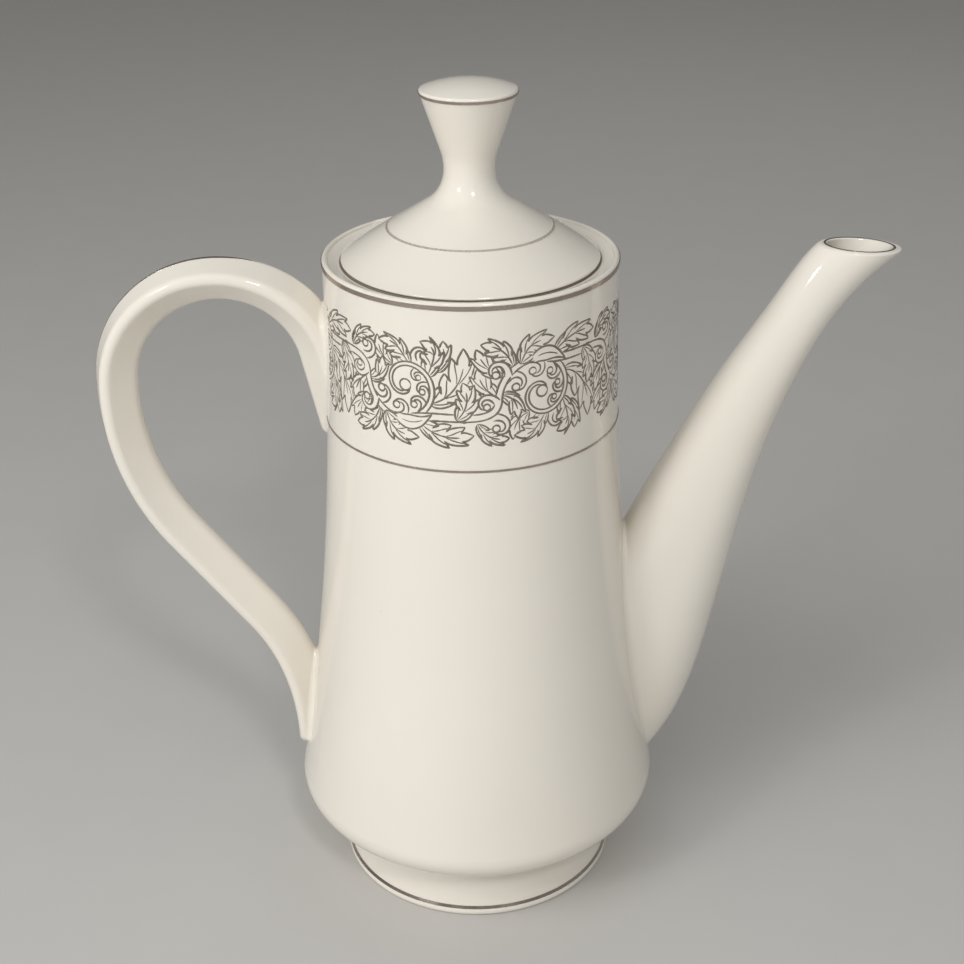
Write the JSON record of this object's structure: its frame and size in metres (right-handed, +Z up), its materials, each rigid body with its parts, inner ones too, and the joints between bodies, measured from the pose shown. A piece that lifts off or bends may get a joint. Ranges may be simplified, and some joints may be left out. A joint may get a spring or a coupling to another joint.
{
  "type": "coffee pot",
  "caption": "Tall tapering porcelain coffee pot with a raised curved spout, ear-shaped handle, lift-off lid with flared knob, scroll frieze and platinum lines.",
  "frame": {"origin": "centre of the foot's resting plane, on the pot's axis", "axes": "+Z up the pot's axis, +X towards the spout, -X towards the handle"},
  "size_m": [0.23, 0.1123, 0.25],
  "materials": {
    "white_porcelain": "clear gloss glaze",
    "platinum_lustre": "fired platinum lustre",
    "scroll_transfer": "grey scroll print on the white glaze"
  },
  "bodies": {
    "pot": {"pot_body": "white_porcelain", "foot_ring": "white_porcelain", "spout": "white_porcelain", "handle": "white_porcelain", "rim_platinum_band": "platinum_lustre", "neck_platinum_line": "platinum_lustre", "foot_platinum_line": "platinum_lustre", "spout_platinum_line": "platinum_lustre", "handle_platinum_stripe": "platinum_lustre", "scroll_transfer_band": "scroll_transfer"},
    "lid": {"lid_cover": "white_porcelain", "lid_knob": "white_porcelain", "lid_platinum_line": "platinum_lustre", "knob_platinum_line": "platinum_lustre"}
  },
  "joints": [
    {"name": "lid_lift", "type": "slide", "parent": "pot", "child": "lid", "axis": [0, 0, 1], "range_m": [0, 0.04]}
  ]
}
